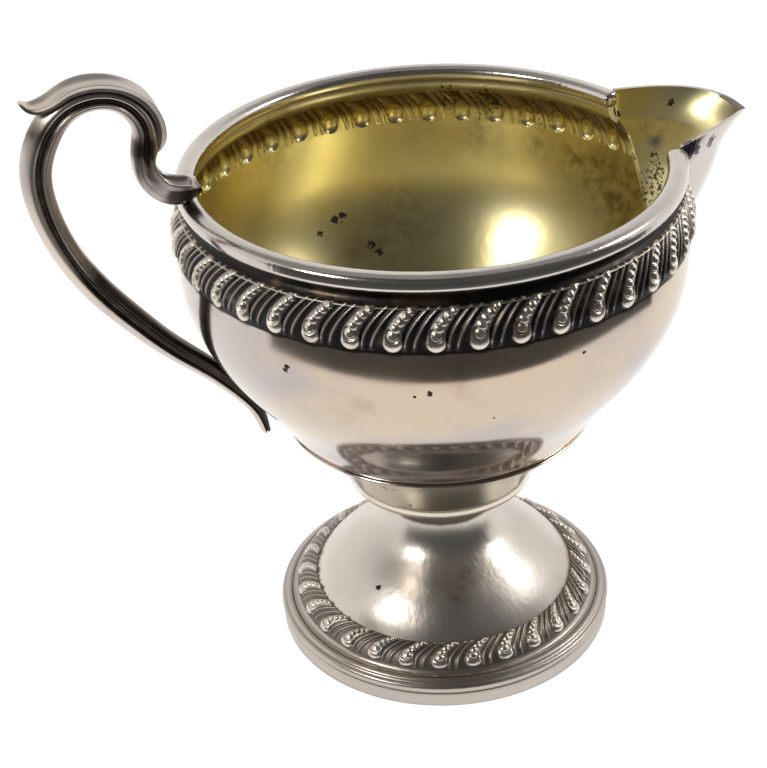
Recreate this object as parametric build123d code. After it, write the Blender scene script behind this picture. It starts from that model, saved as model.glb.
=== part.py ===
from build123d import *
from math import hypot
import os

# Silver cream jug: a footed round bowl with a stamped gadroon border, a soldered V-shaped spout and a cast scroll
# handle. Millimetres. The origin is on the table, on the jug's axis; +Z is up, +X points out of the spout and the
# handle is on -X. Every turned piece is drawn as (radius, height) and revolved about Z.

# Driving dimensions
SHEET = 1.0  # thickness of the spun and stamped sheet
RIM_RADIUS = 46.0  # outside of the rim wire
RIM_HEIGHT = 99.0  # centre of the rim wire
RIM_HALF_WIDTH = 1.9
RIM_HALF_HEIGHT = 1.55
SPOUT_GAP = 18.0  # half of the gap in the rim wire, in degrees
BAND_TOP = 95.2  # upper edge of the bowl's gadroon border
BAND_BOTTOM = 87.4
BAND_PROUD = 0.8  # how far the border stands out from the bowl below it
BOWL_RADIUS = 47.0  # widest part of the bowl, just under the border
CREASE_RADIUS = 35.3  # shallow crease round the belly
CREASE_HEIGHT = 57.8
CUP_RADIUS = 29.5  # where the lower cup begins
CUP_HEIGHT = 49.3
CUP_LIP = 0.4  # how far the edge of the lower cup stands proud
CUP_BOTTOM = 32.4
NECK_RADIUS = 10.5  # narrowest part of the foot, under the cup
DOME_RADIUS = 25.9  # outer edge of the foot's dome
DOME_HEIGHT = 9.6
FOOT_BAND_RADIUS = 30.4  # outer edge of the foot's gadroon border
FOOT_BAND_HEIGHT = 6.3
FOOT_RADIUS = 33.67
APRON_HEIGHT = 3.2  # plain vertical wall at the very bottom
APRON_RADIUS = 33.46
SPOUT_SHEET = 0.9
SPOUT_BACK = 36.0  # where the spout's sections are closed, inside the bowl
SPOUT_TIP = 63.3
SPOUT_TIP_HEIGHT = 99.3
SPOUT_LIP_HEIGHT = 101.6  # highest part of the spout's top edge
HANDLE_WIDTH = 5.2
LEAF_WIDTH = 6.4

# Outside profiles as (radius, height), from the top down
COLLAR = [(44.7, 98.2), (44.3, 96.6), (45.2, BAND_TOP)]
BAND = [
    (45.2, BAND_TOP),
    (46.9, 93.2),
    (BOWL_RADIUS + BAND_PROUD, 90.2),
    (BOWL_RADIUS + BAND_PROUD - 0.3, BAND_BOTTOM),
]
BELLY = [
    (BOWL_RADIUS, BAND_BOTTOM),
    (46.9, 83.0),
    (45.9, 76.0),
    (43.6, 70.0),
    (40.0, 64.0),
    (CREASE_RADIUS, CREASE_HEIGHT),
]
TIER = [(CREASE_RADIUS, CREASE_HEIGHT), (33.2, 54.9), (31.3, 51.9), (CUP_RADIUS, CUP_HEIGHT)]
CUP = [
    (CUP_RADIUS + CUP_LIP, CUP_HEIGHT),
    (25.9, 45.2),
    (21.7, 39.7),
    (18.1, 34.5),
    (14.5, 32.9),
    (NECK_RADIUS, CUP_BOTTOM),
]
STEM = [
    (NECK_RADIUS, CUP_BOTTOM),
    (10.4, 29.4),
    (12.2, 23.8),
    (16.2, 18.8),
    (21.4, 14.6),
    (24.8, 11.9),
    (DOME_RADIUS, DOME_HEIGHT),
]

# Spout sections: (height, keel distance from the axis, half width where the section is closed)
SPOUT_SECTIONS = [
    (71.5, 44.6, 4.5),
    (77.0, 48.6, 9.5),
    (84.0, 52.4, 13.4),
    (92.0, 56.5, 15.8),
    (97.0, 60.0, 15.8),
    (102.5, 67.0, 15.2),
]

# Handle centre line from the tongue on the rim to the tail: (x, height, half thickness)
HANDLE = [
    (-42.2, 103.3, 1.0),
    (-45.6, 102.4, 2.1),
    (-49.2, 103.9, 2.1),
    (-50.9, 107.2, 2.2),
    (-50.6, 111.4, 2.4),
    (-50.2, 115.0, 2.3),
    (-51.4, 118.3, 2.3),
    (-54.6, 121.1, 2.2),
    (-59.0, 121.9, 2.3),
    (-63.4, 120.5, 2.5),
    (-67.3, 116.2, 2.8),
    (-69.4, 110.2, 2.7),
    (-69.2, 104.0, 2.6),
    (-67.1, 96.2, 2.5),
    (-62.6, 87.2, 2.5),
    (-56.4, 78.9, 2.4),
    (-50.2, 71.9, 2.2),
    (-44.0, 65.3, 1.9),
    (-39.6, 60.2, 1.6),
    (-36.2, 55.2, 1.3),
    (-34.6, 50.8, 0.9),
]

# Back of the leaf that caps the handle, from its curl above the rim to its free tip
LEAF_BACK = [
    (-47.0, 111.8),
    (-47.1, 115.6),
    (-49.0, 119.8),
    (-52.6, 123.2),
    (-57.4, 125.0),
    (-62.6, 124.6),
    (-67.2, 122.9),
]
LEAF_TIP = (-70.9, 123.2)
LEAF_FRONT = [
    (-69.0, 120.6),
    (-64.6, 121.6),
    (-59.0, 122.6),
    (-54.0, 121.4),
    (-50.6, 118.0),
    (-49.2, 112.4),
]


def point(radius, height):
    """A point in the plane of the spout and the handle."""
    return Vector(radius, 0, height)


def side_step(points, i, distance):
    """Step from point i of an open curve to its left-hand side."""
    before = points[max(i - 1, 0)]
    after = points[min(i + 1, len(points) - 1)]
    dx = after[0] - before[0]
    dz = after[1] - before[1]
    length = hypot(dx, dz)
    return -distance * dz / length, distance * dx / length


def inside_of(points):
    """The inner face of a sheet whose outside is given from the top down. Both ends stay at their own height."""
    inner = []
    for i, (x, z) in enumerate(points):
        step_x, step_z = side_step(points, i, -SHEET)
        if i in (0, len(points) - 1):
            inner.append((x - SHEET * SHEET / abs(step_x), z))
        else:
            inner.append((x + step_x, z + step_z))
    return inner


def curve(points):
    """A smooth edge through the points, or a straight one through two."""
    if len(points) == 2:
        return Line(point(*points[0]), point(*points[1]))
    return Spline(*[point(*p) for p in points])


def closed_face(curves):
    """A flat face bounded by open curves, each joined to the next by a straight line where they don't meet."""
    edges = []
    for i, points in enumerate(curves):
        edges.append(curve(points))
        start = point(*points[-1])
        end = point(*curves[(i + 1) % len(curves)][0])
        if (end - start).length > 1e-6:
            edges.append(Line(start, end))
    return make_face(Wire(edges))


def turned(curves):
    """A solid of revolution about Z from profile curves listed in order."""
    return revolve(closed_face(curves), Axis.Z, 360)


def sheet_ring(*outer_curves):
    """A turned sheet of even thickness whose outside follows the curves, listed from the top down."""
    inner_curves = [list(reversed(inside_of(c))) for c in reversed(outer_curves)]
    return turned(list(outer_curves) + inner_curves)


def plate(face, width):
    """A face in the plane of the spout thickened evenly to both sides."""
    return extrude(face, amount=width / 2, dir=(0, 1, 0), both=True)


def spout_section(height, keel, half_width, inset):
    """Level section of the spout: two bowed sides that meet at the keel."""
    tip = keel - 1.7 * inset
    half = half_width - inset
    bow = 0.2 * half
    length = tip - SPOUT_BACK
    slant = hypot(length, half)
    middle_x = SPOUT_BACK + length / 2 + bow * half / slant
    middle_y = half / 2 + bow * length / slant
    port = ThreePointArc((SPOUT_BACK, half, height), (middle_x, middle_y, height), (tip, 0, height))
    starboard = ThreePointArc((tip, 0, height), (middle_x, -middle_y, height), (SPOUT_BACK, -half, height))
    closing = Line((SPOUT_BACK, -half, height), (SPOUT_BACK, half, height))
    return make_face(Wire([port, starboard, closing]))


def spout_volume(inset):
    """The space inside the spout, or with no inset the spout's outside, down to its point below the border."""
    return loft([spout_section(height, keel, half, inset) for height, keel, half in SPOUT_SECTIONS])


def above_the_lip():
    """Everything over the spout's top edge, which dips at the tip."""
    high = SPOUT_LIP_HEIGHT + 10
    lip = [
        (SPOUT_BACK - 1, SPOUT_LIP_HEIGHT - 1.0),
        (46.0, SPOUT_LIP_HEIGHT - 0.5),
        (55.0, SPOUT_LIP_HEIGHT),
        (60.0, SPOUT_LIP_HEIGHT - 0.7),
        (SPOUT_TIP, SPOUT_TIP_HEIGHT),
    ]
    beyond = [(72.0, SPOUT_TIP_HEIGHT - 4), (72.0, high)]
    return plate(closed_face([lip, beyond, [(SPOUT_BACK - 1, high), lip[0]]]), 60)


def body_envelope():
    """The bowl taken as one solid lump, for trimming what is soldered to it."""
    top = RIM_HEIGHT + 10
    mid_rim = RIM_RADIUS - RIM_HALF_WIDTH
    neck = [(mid_rim, top), (mid_rim, RIM_HEIGHT)]
    collar = [COLLAR[1], COLLAR[2]]
    cup = CUP[:4]
    middle = [(0, CUP[3][1]), (0, top)]
    return turned([neck, collar, BAND, BELLY, TIER, cup, middle])


def rim_section():
    section = Plane(origin=point(RIM_RADIUS - RIM_HALF_WIDTH, RIM_HEIGHT), x_dir=(1, 0, 0), z_dir=(0, -1, 0))
    return section * Ellipse(RIM_HALF_WIDTH, RIM_HALF_HEIGHT)


def make_rim_wire():
    """Half-round rim wire, open where the spout leaves the bowl."""
    return revolve(rim_section().rotate(Axis.Z, SPOUT_GAP), Axis.Z, 360 - 2 * SPOUT_GAP)


def make_neck_collar(passage):
    """Plain hollow moulding between the rim wire and the border."""
    return sheet_ring(COLLAR) - revolve(rim_section(), Axis.Z, 360) - passage


def make_lower_cup():
    """Closed bottom of the bowl. Its edge stands a little proud of the tier above."""
    floor = CUP_BOTTOM + SHEET
    inner = [(x - 0.92, z + 0.62) for x, z in CUP[1:4]]
    inside = [(NECK_RADIUS, floor)] + list(reversed(inner)) + [(inside_of(TIER)[-1][0], CUP_HEIGHT)]
    axis_bottom = [(NECK_RADIUS, CUP_BOTTOM), (0, CUP_BOTTOM)]
    axis_top = [(0, floor), (NECK_RADIUS, floor)]
    return turned([CUP, axis_bottom, axis_top, inside])


def make_foot_band():
    """Gadroon border strip of the foot, with a flange under the dome's edge."""
    back = DOME_RADIUS - 1.2
    crown = [(DOME_RADIUS, DOME_HEIGHT), (27.4, 9.7), (29.3, 8.5), (FOOT_BAND_RADIUS, FOOT_BAND_HEIGHT)]
    under = [(FOOT_BAND_RADIUS - 1.2, FOOT_BAND_HEIGHT), (28.2, 7.6), (26.8, 8.4), (back, DOME_HEIGHT - 1)]
    return turned([crown, under, [(back, DOME_HEIGHT), (DOME_RADIUS, DOME_HEIGHT)]])


def make_foot_moulding():
    """Two-line moulding round the edge of the foot."""
    inner = FOOT_BAND_RADIUS - 1.2
    hollow = [(FOOT_BAND_RADIUS, FOOT_BAND_HEIGHT), (31.1, 5.8), (31.9, 5.75)]
    inner_line = [(31.9, 5.75), (32.4, 5.6), (32.6, 5.1)]
    outer_line = [(32.6, 5.1), (33.3, 4.8), (FOOT_RADIUS, 4.2), (FOOT_RADIUS - 0.1, APRON_HEIGHT)]
    under = [(APRON_RADIUS - SHEET, APRON_HEIGHT), (31.4, 4.4), (inner, 5.2)]
    top = [(inner, FOOT_BAND_HEIGHT), (FOOT_BAND_RADIUS, FOOT_BAND_HEIGHT)]
    return turned([hollow, inner_line, outer_line, under, top])


def make_foot_apron():
    """Plain upright ring that the jug stands on."""
    return Cylinder(APRON_RADIUS, APRON_HEIGHT, align=(Align.CENTER, Align.CENTER, Align.MIN)) - Cylinder(
        APRON_RADIUS - SHEET, APRON_HEIGHT, align=(Align.CENTER, Align.CENTER, Align.MIN)
    )


def make_spout(passage, rim_wire, neck_collar):
    """Sheet spout, open to the bowl and trimmed to fit over the border and against the rim's ends."""
    sheet = spout_volume(0) - passage
    return sheet - above_the_lip() - body_envelope() - rim_wire - neck_collar


def make_handle(rim_wire):
    """Cast scroll handle, trimmed where it meets the rim and the bowl."""
    line = [(x, z) for x, z, _ in HANDLE]
    outer = []
    inner = []
    for i, (x, z, half) in enumerate(HANDLE):
        step_x, step_z = side_step(line, i, half)
        inner.append((x + step_x, z + step_z))
        outer.append((x - step_x, z - step_z))
    side = closed_face([outer, list(reversed(inner))])
    return plate(side, HANDLE_WIDTH) - rim_wire - body_envelope()


def make_leaf_cap(handle):
    """Leaf soldered over the top of the handle, with a free tip for the thumb."""
    side = closed_face([LEAF_BACK + [LEAF_TIP], LEAF_FRONT])
    return plate(side, LEAF_WIDTH) - handle


def largest(shape):
    """The main solid of a trimmed piece, without slivers."""
    return max(shape.solids(), key=lambda solid: solid.volume)


def main():
    os.makedirs("parts", exist_ok=True)
    passage = spout_volume(SPOUT_SHEET)
    rim_wire = make_rim_wire()
    neck_collar = largest(make_neck_collar(passage))
    handle = largest(make_handle(rim_wire))
    pieces = {
        "rim_wire": rim_wire,
        "neck_collar": neck_collar,
        "gadroon_band": sheet_ring(BAND) - passage,
        "bowl": sheet_ring(BELLY, TIER) - passage,
        "lower_cup": make_lower_cup(),
        "spout": make_spout(passage, rim_wire, neck_collar),
        "handle": handle,
        "leaf_cap": make_leaf_cap(handle),
        "foot_stem": sheet_ring(STEM),
        "foot_band": make_foot_band(),
        "foot_moulding": make_foot_moulding(),
        "foot_apron": make_foot_apron(),
    }
    for name, shape in pieces.items():
        export_step(largest(shape), f"parts/{name}.step")


main()
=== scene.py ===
import math

import bmesh
import bpy
import numpy as np
from mathutils import Matrix, Vector


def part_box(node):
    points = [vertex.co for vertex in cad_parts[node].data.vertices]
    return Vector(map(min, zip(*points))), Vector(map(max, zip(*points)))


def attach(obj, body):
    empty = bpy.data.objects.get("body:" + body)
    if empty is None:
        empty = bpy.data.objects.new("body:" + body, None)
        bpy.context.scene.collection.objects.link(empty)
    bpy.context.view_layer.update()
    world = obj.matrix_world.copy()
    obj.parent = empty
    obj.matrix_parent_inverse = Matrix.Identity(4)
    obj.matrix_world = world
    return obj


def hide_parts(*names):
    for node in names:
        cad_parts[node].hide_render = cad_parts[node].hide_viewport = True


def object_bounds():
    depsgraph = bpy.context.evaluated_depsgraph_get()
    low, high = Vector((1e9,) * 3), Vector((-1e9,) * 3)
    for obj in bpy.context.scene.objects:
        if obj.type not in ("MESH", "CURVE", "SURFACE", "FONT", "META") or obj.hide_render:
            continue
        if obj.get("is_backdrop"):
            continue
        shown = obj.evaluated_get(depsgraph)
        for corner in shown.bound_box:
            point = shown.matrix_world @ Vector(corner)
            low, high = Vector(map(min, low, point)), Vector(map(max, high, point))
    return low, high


# Looks of the silver cream jug. Outlines are in millimetres in the CAD's frame: the jug's axis is Z, the
# table is z = 0 and +X points out of the spout. A mesh is scaled to metres as it is written.

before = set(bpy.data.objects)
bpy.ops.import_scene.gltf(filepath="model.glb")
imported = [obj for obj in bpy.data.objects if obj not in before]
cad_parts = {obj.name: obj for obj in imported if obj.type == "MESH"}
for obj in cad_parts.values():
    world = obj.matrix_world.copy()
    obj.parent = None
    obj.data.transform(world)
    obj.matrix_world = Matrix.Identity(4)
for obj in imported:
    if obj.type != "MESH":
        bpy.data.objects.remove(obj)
cad_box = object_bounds()

MM = 0.001
TURN = 2 * math.pi
AXIS_STEPS = 256  # steps round a plain turned piece
WELD = 1e-4  # points closer together than this are made one
SHARP_PLAIN = 50  # degrees between two faces from which their edge looks sharp
SHARP_LOFTED = 60
SHARP_STAMPED = 80

# Sizes taken from the CAD nodes
RIM_LOW, RIM_HIGH = (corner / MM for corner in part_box("rim_wire"))
BAND_LOW, BAND_HIGH = (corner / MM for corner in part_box("gadroon_band"))
APRON_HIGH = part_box("foot_apron")[1] / MM

RIM_CENTRE_HEIGHT = (RIM_LOW.z + RIM_HIGH.z) / 2
RIM_HALF_HEIGHT = (RIM_HIGH.z - RIM_LOW.z) / 2
RIM_HALF_WIDTH = 1.9
RIM_CENTRE_RADIUS = RIM_HIGH.y - RIM_HALF_WIDTH
RIM_GAP = math.radians(18)  # half of the gap at the spout
BAND_TOP = BAND_HIGH.z
BAND_BOTTOM = BAND_LOW.z
SHEET = 1.0

# Outside profiles as (radius, height) from the top down
COLLAR = [(44.7, 98.0), (44.2, 96.9), (44.4, 95.9), (45.1, BAND_TOP)]
BAND_GROUND = [(45.1, BAND_TOP), (46.1, 93.2), (46.75, 90.6), (46.9, 88.6), (46.95, BAND_BOTTOM)]
BELLY = [(47.0, BAND_BOTTOM), (46.9, 83.0), (45.9, 76.0), (43.6, 70.0), (40.0, 64.0), (35.3, 57.8)]
TIER = [(35.3, 57.8), (33.2, 54.9), (31.3, 51.9), (29.5, 49.3)]
CUP = [(29.9, 49.3), (25.9, 45.2), (21.9, 40.3), (19.5, 36.9)]
CUP_FOOT = [(19.5, 36.9), (18.8, 35.7), (18.55, 34.6), (18.2, 33.5), (17.2, 32.8), (10.4, 32.4)]
NECK_SHADE = 26.8  # the stem is painted dark above this height: painted shade under the cup
STEM = [
    (10.5, 32.4),
    (10.4, 28.4),
    (11.1, 24.6),
    (13.0, 21.2),
    (16.2, 18.5),
    (19.6, 16.1),
    (22.3, 13.8),
    (24.6, 11.4),
    (25.9, 9.6),
]
FOOT_GROUND = [(25.9, 9.6), (27.3, 9.1), (29.0, 7.9), (30.2, 6.3)]

# Half width of the cut in the bowl's wall behind the spout, as (height, half width)
SPOUT_CUT = [
    (72.0, 0.0),
    (75.0, 3.0),
    (79.0, 5.7),
    (83.5, 8.3),
    (88.0, 10.7),
    (92.0, 12.4),
    (96.0, 13.8),
    (101.0, 14.1),
]
SPOUT_POINT = SPOUT_CUT[0][0]
SPOUT_TOP = SPOUT_CUT[-1][0]
# Keel of the spout from its point on the bowl to its tip, as (distance from the axis, height)
SPOUT_KEEL = [(44.6, 72.0), (48.6, 77.4), (52.9, 84.5), (56.0, 90.6), (58.8, 96.4), (62.7, 99.2)]

# How many lobes each border has, the angle of one of them, and the radius at which they are spaced
BOWL_LOBES = 42
BOWL_LOBE_AZIMUTH = math.radians(-108)
BOWL_LOBE_RADIUS = 47.0
FOOT_LOBES = 28
FOOT_LOBE_AZIMUTH = math.radians(-110.75)
FOOT_LOBE_RADIUS = 28.3


def smooth_line(points, count):
    """Points evenly spaced along a smooth curve through the given ones: a natural cubic spline."""
    knots = np.array(points, float)
    gaps = np.linalg.norm(np.diff(knots, axis=0), axis=1)
    place = np.concatenate([[0], np.cumsum(gaps)])
    size = len(knots)
    matrix = np.zeros((size, size))
    right = np.zeros_like(knots)
    matrix[0, 0] = matrix[-1, -1] = 1
    slopes = np.diff(knots, axis=0) / gaps[:, None]
    for i in range(1, size - 1):
        matrix[i, i - 1] = gaps[i - 1]
        matrix[i, i] = 2 * (gaps[i - 1] + gaps[i])
        matrix[i, i + 1] = gaps[i]
        right[i] = 6 * (slopes[i] - slopes[i - 1])
    second = np.linalg.solve(matrix, right)

    def at(values):
        span = np.clip(np.searchsorted(place, values) - 1, 0, size - 2)
        width = gaps[span][:, None]
        after = ((values - place[span])[:, None]) / width
        before = 1 - after
        bend = (before**3 - before) * second[span] + (after**3 - after) * second[span + 1]
        return before * knots[span] + after * knots[span + 1] + bend * width**2 / 6

    fine = at(np.linspace(0, place[-1], 40 * size))
    run = np.concatenate([[0], np.cumsum(np.linalg.norm(np.diff(fine, axis=0), axis=1))])
    even = np.linspace(0, run[-1], count)
    return np.stack([np.interp(even, run, fine[:, k]) for k in range(knots.shape[1])], axis=1)


def between(value, table):
    """Value of a table of (position, value) at a position, along a smooth curve."""
    line = smooth_line(table, 200)
    return np.interp(value, line[:, 0], line[:, 1])


def rising(value, start, width):
    """0 up to the start, then up to 1 over the width."""
    return np.clip((value - start) / width, 0, 1)


def falling(value, end, width):
    """1, then down to 0 over the width before the end."""
    return np.clip((end - value) / width, 0, 1)


def offset_line(line, distance):
    """A line of (radius, height) moved sideways, to its right."""
    ahead = np.gradient(line, axis=0)
    ahead /= np.linalg.norm(ahead, axis=1)[:, None]
    return line + distance * np.stack([ahead[:, 1], -ahead[:, 0]], axis=1)


class MeshMaker:
    """Collects points in millimetres and faces with a material number, then makes one object of them."""

    def __init__(self, name):
        self.name = name
        self.points = []
        self.faces = []
        self.kinds = []
        self.relief = []
        self.total = 0

    def add_grid(self, grid, kind=0, relief=None, wrap=False):
        """Adds a grid of points and the faces between them. Returns the grid of point numbers."""
        rows, columns = grid.shape[:2]
        numbers = np.arange(rows * columns).reshape(rows, columns) + self.total
        self.points.append(grid.reshape(-1, 3))
        self.relief.append(np.ones(rows * columns) if relief is None else relief.reshape(-1))
        self.total += rows * columns
        self.add_faces(numbers, kind, wrap)
        return numbers

    def add_faces(self, numbers, kind=0, wrap=False):
        """Adds faces between a grid of point numbers."""
        if wrap:
            numbers = np.concatenate([numbers, numbers[:, :1]], axis=1)
        quads = np.stack(
            [numbers[:-1, :-1], numbers[:-1, 1:], numbers[1:, 1:], numbers[1:, :-1]], axis=-1
        ).reshape(-1, 4)
        self.faces.append(quads)
        self.kinds.append(np.full(len(quads), kind))

    def build(self, materials, nodes, sharp=SHARP_PLAIN):
        """Makes the object, closes its seams, and puts it in the place of its CAD nodes."""
        mesh = bpy.data.meshes.new(self.name)
        points = np.concatenate(self.points) * MM
        faces = np.concatenate(self.faces)
        mesh.from_pydata(points.tolist(), [], faces.tolist())
        mesh.polygons.foreach_set("material_index", np.concatenate(self.kinds).astype(np.int32))
        relief = mesh.attributes.new("relief", "FLOAT", "POINT")
        relief.data.foreach_set("value", np.concatenate(self.relief).astype(np.float32))
        work = bmesh.new()
        work.from_mesh(mesh)
        bmesh.ops.remove_doubles(work, verts=work.verts, dist=WELD * MM)
        bmesh.ops.dissolve_degenerate(work, edges=work.edges, dist=WELD * MM)
        bmesh.ops.recalc_face_normals(work, faces=work.faces)
        work.to_mesh(mesh)
        work.free()
        mesh.shade_smooth()
        mesh.set_sharp_from_angle(angle=math.radians(sharp))
        piece = bpy.data.objects.new(self.name, mesh)
        bpy.context.scene.collection.objects.link(piece)
        for material in materials:
            mesh.materials.append(material)
        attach(piece, "root")
        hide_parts(*nodes)
        return piece


def swept(line, angles):
    """A grid of points from a line of (radius, height) turned to each angle."""
    radius = line[:, 0][:, None]
    height = line[:, 1][:, None] + np.zeros((1, len(angles)))
    return np.stack([radius * np.cos(angles), radius * np.sin(angles), height], axis=-1)


def turned_piece(name, profile, materials, nodes, kinds=None, shade=None):
    """A full turned piece from a closed loop of (radius, height). kinds gives each step of the loop its
    material, and shade says how bright its silver is at a height."""
    loop = np.array(profile, float)
    angles = np.arange(AXIS_STEPS) * TURN / AXIS_STEPS
    grid = swept(loop, angles)
    bright = shade(loop[:, 1]) if shade else np.ones(len(loop))
    maker = MeshMaker(name)
    rows = []
    for i in range(len(loop)):
        rows.append(maker.add_grid(grid[i : i + 1], 0, np.full(AXIS_STEPS, bright[i]), wrap=True))
    for i in range(len(loop)):
        pair = np.concatenate([rows[i], rows[(i + 1) % len(loop)]], axis=0)
        maker.add_faces(pair, kinds[i] if kinds else 0, wrap=True)
    return maker.build(materials, nodes)


def cut_angles(line, steps):
    """Angles round the bowl at each point of a line, from one side of the spout's cut to the other."""
    half_width = np.where(line[:, 1] > SPOUT_POINT, between(line[:, 1], SPOUT_CUT), 0)
    half = np.arcsin(np.clip(half_width, 0, None) / line[:, 0])[:, None]
    share = np.linspace(0, 1, steps + 1)[None, :]
    return half + share * (TURN - 2 * half)


def cut_shell(
    name, outer, inner, materials, nodes, steps, outside=None, inside=None, sharp=SHARP_PLAIN
):
    """A turned wall with the spout's cut in it. Material 0 is outside, 1 inside and 2 on its edges.
    outside and inside give the rise of a side over its line, and how bright its silver is."""
    maker = MeshMaker(name)
    sides = []
    for line, shape, kind in ((outer, outside, 0), (inner, inside, 1)):
        angles = cut_angles(line, steps)
        height = line[:, 1][:, None] + 0 * angles
        radius = line[:, 0][:, None] + 0 * angles
        shade = None
        if shape:
            rise, shade = shape(angles, height)
            radius = radius + rise
        grid = np.stack([radius * np.cos(angles), radius * np.sin(angles), height], axis=-1)
        sides.append(maker.add_grid(grid, kind, shade))
    front, back = sides
    maker.add_faces(np.stack([front[0], back[0]]), 2)
    maker.add_faces(np.stack([front[-1], back[-1]]), 2)
    open_rows = np.where(outer[:, 1] > SPOUT_POINT)[0]
    last = min(open_rows[-1] + 2, len(outer))
    for column in (0, -1):
        maker.add_faces(np.stack([front[:last, column], back[:last, column]]), 2)
    return maker.build(materials, nodes, sharp)


# ---------------------------------------------------------------- gadroon pattern


def dome(distance, radius, height):
    """A round bead."""
    return height * np.sqrt(np.clip(1 - (distance / radius) ** 2, 0, None))


def ridge(distance, width, height):
    """A rounded thin ridge."""
    return height * np.exp(-((distance / width) ** 2))


def to_line(x, y, points):
    """Distance from each place to a line of points, and the share of the line before the nearest point."""
    line = smooth_line(points, 14)
    best = np.full(x.shape, 1e9)
    along = np.zeros(x.shape)
    for i in range(len(line) - 1):
        a, b = line[i], line[i + 1]
        step = b - a
        share = np.clip(((x - a[0]) * step[0] + (y - a[1]) * step[1]) / (step @ step), 0, 1)
        gap = np.hypot(x - a[0] - share * step[0], y - a[1] - share * step[1])
        closer = gap < best
        best = np.where(closer, gap, best)
        along = np.where(closer, (i + share) / (len(line) - 1), along)
    return best, along


# One cell of the pattern, in its own millimetres: a lobe that leans to the right, and two ridges beside it
CELL_WIDTH = 7.03
CELL_HEIGHT = 7.8
LOBE_LINE = [(0.0, 1.95), (0.1, 3.1), (0.7, 4.6), (1.8, 6.0), (3.4, 7.4)]
LOBE_HALF_WIDTH = 1.72  # at the lobe's foot
LOBE_TAPER = 0.72  # how much narrower its half is at its tip
LOBE_HEIGHT = 0.92
# Beads of a lobe, from its foot up: (x, y, radius)
BEADS = [
    (0.08, 3.35, 0.92),
    (0.50, 4.60, 0.92),
    (1.35, 5.65, 0.86),
    (2.30, 6.50, 0.78),
    (3.25, 7.20, 0.64),
]
BEAD_GAP = 0.10  # from the first bead to the middle of the sunk line round it
BEAD_LINE_WIDTH = 0.20
BEAD_LINE_DEPTH = 0.45
RIDGES = [
    [(1.95, 0.7), (2.1, 2.4), (3.2, 4.7), (4.6, 6.4), (6.3, 7.9)],
    [(3.45, 0.7), (3.6, 2.0), (4.6, 4.2), (6.1, 6.2), (8.0, 7.9)],
]
RIDGE_WIDTH = 0.24
RIDGE_HEIGHT = 0.52


def lobe_cell(x, y, beaded):
    """Height of the pattern over its ground, 0 to 1, round one lobe. x runs to the right and y up."""
    gap, along = to_line(x, y, LOBE_LINE)
    half = LOBE_HALF_WIDTH - LOBE_TAPER * along
    full = np.clip(1.25 - 1.8 * along, 0.50, 1)
    height = full * LOBE_HEIGHT * np.sqrt(np.clip(1 - (gap / half) ** 2, 0, None))
    if beaded:
        first_x, first_y, first_radius = BEADS[0]
        outside = np.hypot(x - first_x, y - first_y) - first_radius
        height = height * (1 - ridge(outside - BEAD_GAP, BEAD_LINE_WIDTH, BEAD_LINE_DEPTH))
        for bead_x, bead_y, radius in BEADS:
            bead = dome(np.hypot(x - bead_x, y - bead_y), radius, 0.55 + 0.42 * radius)
            height = np.maximum(height, bead)
    for line in RIDGES:
        gap, along = to_line(x, y, line)
        fade = np.clip(along * 5 + 0.35, 0, 1)
        height = np.maximum(height, fade * ridge(gap, RIDGE_WIDTH, RIDGE_HEIGHT))
    return height


def gadroon(angles, height, lobes, first, radius, low, high, beaded):
    """Pattern height, 0 to 1, at each place of a border. The pattern starts at low and ends at high."""
    pitch = TURN * radius / lobes
    y = (height - low) * CELL_HEIGHT / (high - low)
    turn = (angles - first) / TURN * lobes
    x = (turn - np.round(turn)) * pitch
    scale = CELL_WIDTH / pitch
    pattern = np.zeros(x.shape)
    for neighbour in (-2, -1, 0, 1):
        pattern = np.maximum(pattern, lobe_cell((x - neighbour * pitch) * scale, y, beaded))
    return pattern


def under_lobes(angles):
    """1 in the middle of each lobe of the bowl's border, 0 half way between two."""
    return 0.5 + 0.5 * np.cos((angles - BOWL_LOBE_AZIMUTH) * BOWL_LOBES)


def bowl_pattern(angles, height, beaded):
    """Pattern height of the bowl's border, 0 to 1."""
    radius = BOWL_LOBE_RADIUS
    return gadroon(angles, height, BOWL_LOBES, BOWL_LOBE_AZIMUTH, radius, BAND_BOTTOM, BAND_TOP, beaded)


def bowl_border(angles, height):
    """Outside of the bowl's border: rise over its ground in millimetres, and how bright its silver is."""
    line_height = BAND_TOP - 0.35
    top_line = ridge(height - line_height, 0.22, 0.45)
    pattern = np.maximum(bowl_pattern(angles, height, True), top_line)
    return pattern, pattern


def bowl_border_reverse(angles, height):
    """Inside of the bowl's border, where the lobes show in reverse, brown painted shade over their upper
    part.
    """
    pattern = bowl_pattern(angles, height, False)
    fade = falling(height, BAND_TOP, 0.8)
    upper = rising(height, BAND_BOTTOM + 2.2, 1.8)
    ridges = rising(pattern, 0.40, 0.2)
    # painted shade: brown over the upper part of each hollow, the ridges left bright
    brown = fade * upper * (1 - 0.8 * ridges)
    return 0.95 * pattern * fade, 1 - 0.8 * brown


def bowl_wall(angles, height):
    """The bowl's plain wall: flat, and dark just under the border's lobes."""
    depth = 0.15 + 1.0 * under_lobes(angles)
    return 0 * height, falling(height, BAND_BOTTOM, depth)


# ---------------------------------------------------------------- materials


def new_material(name):
    """A metal material, with its nodes and its shader."""
    material = bpy.data.materials.new(name)
    material.use_nodes = True
    tree = material.node_tree
    shader = tree.nodes["Principled BSDF"]
    shader.inputs["Metallic"].default_value = 1.0
    return material, tree, shader


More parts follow.
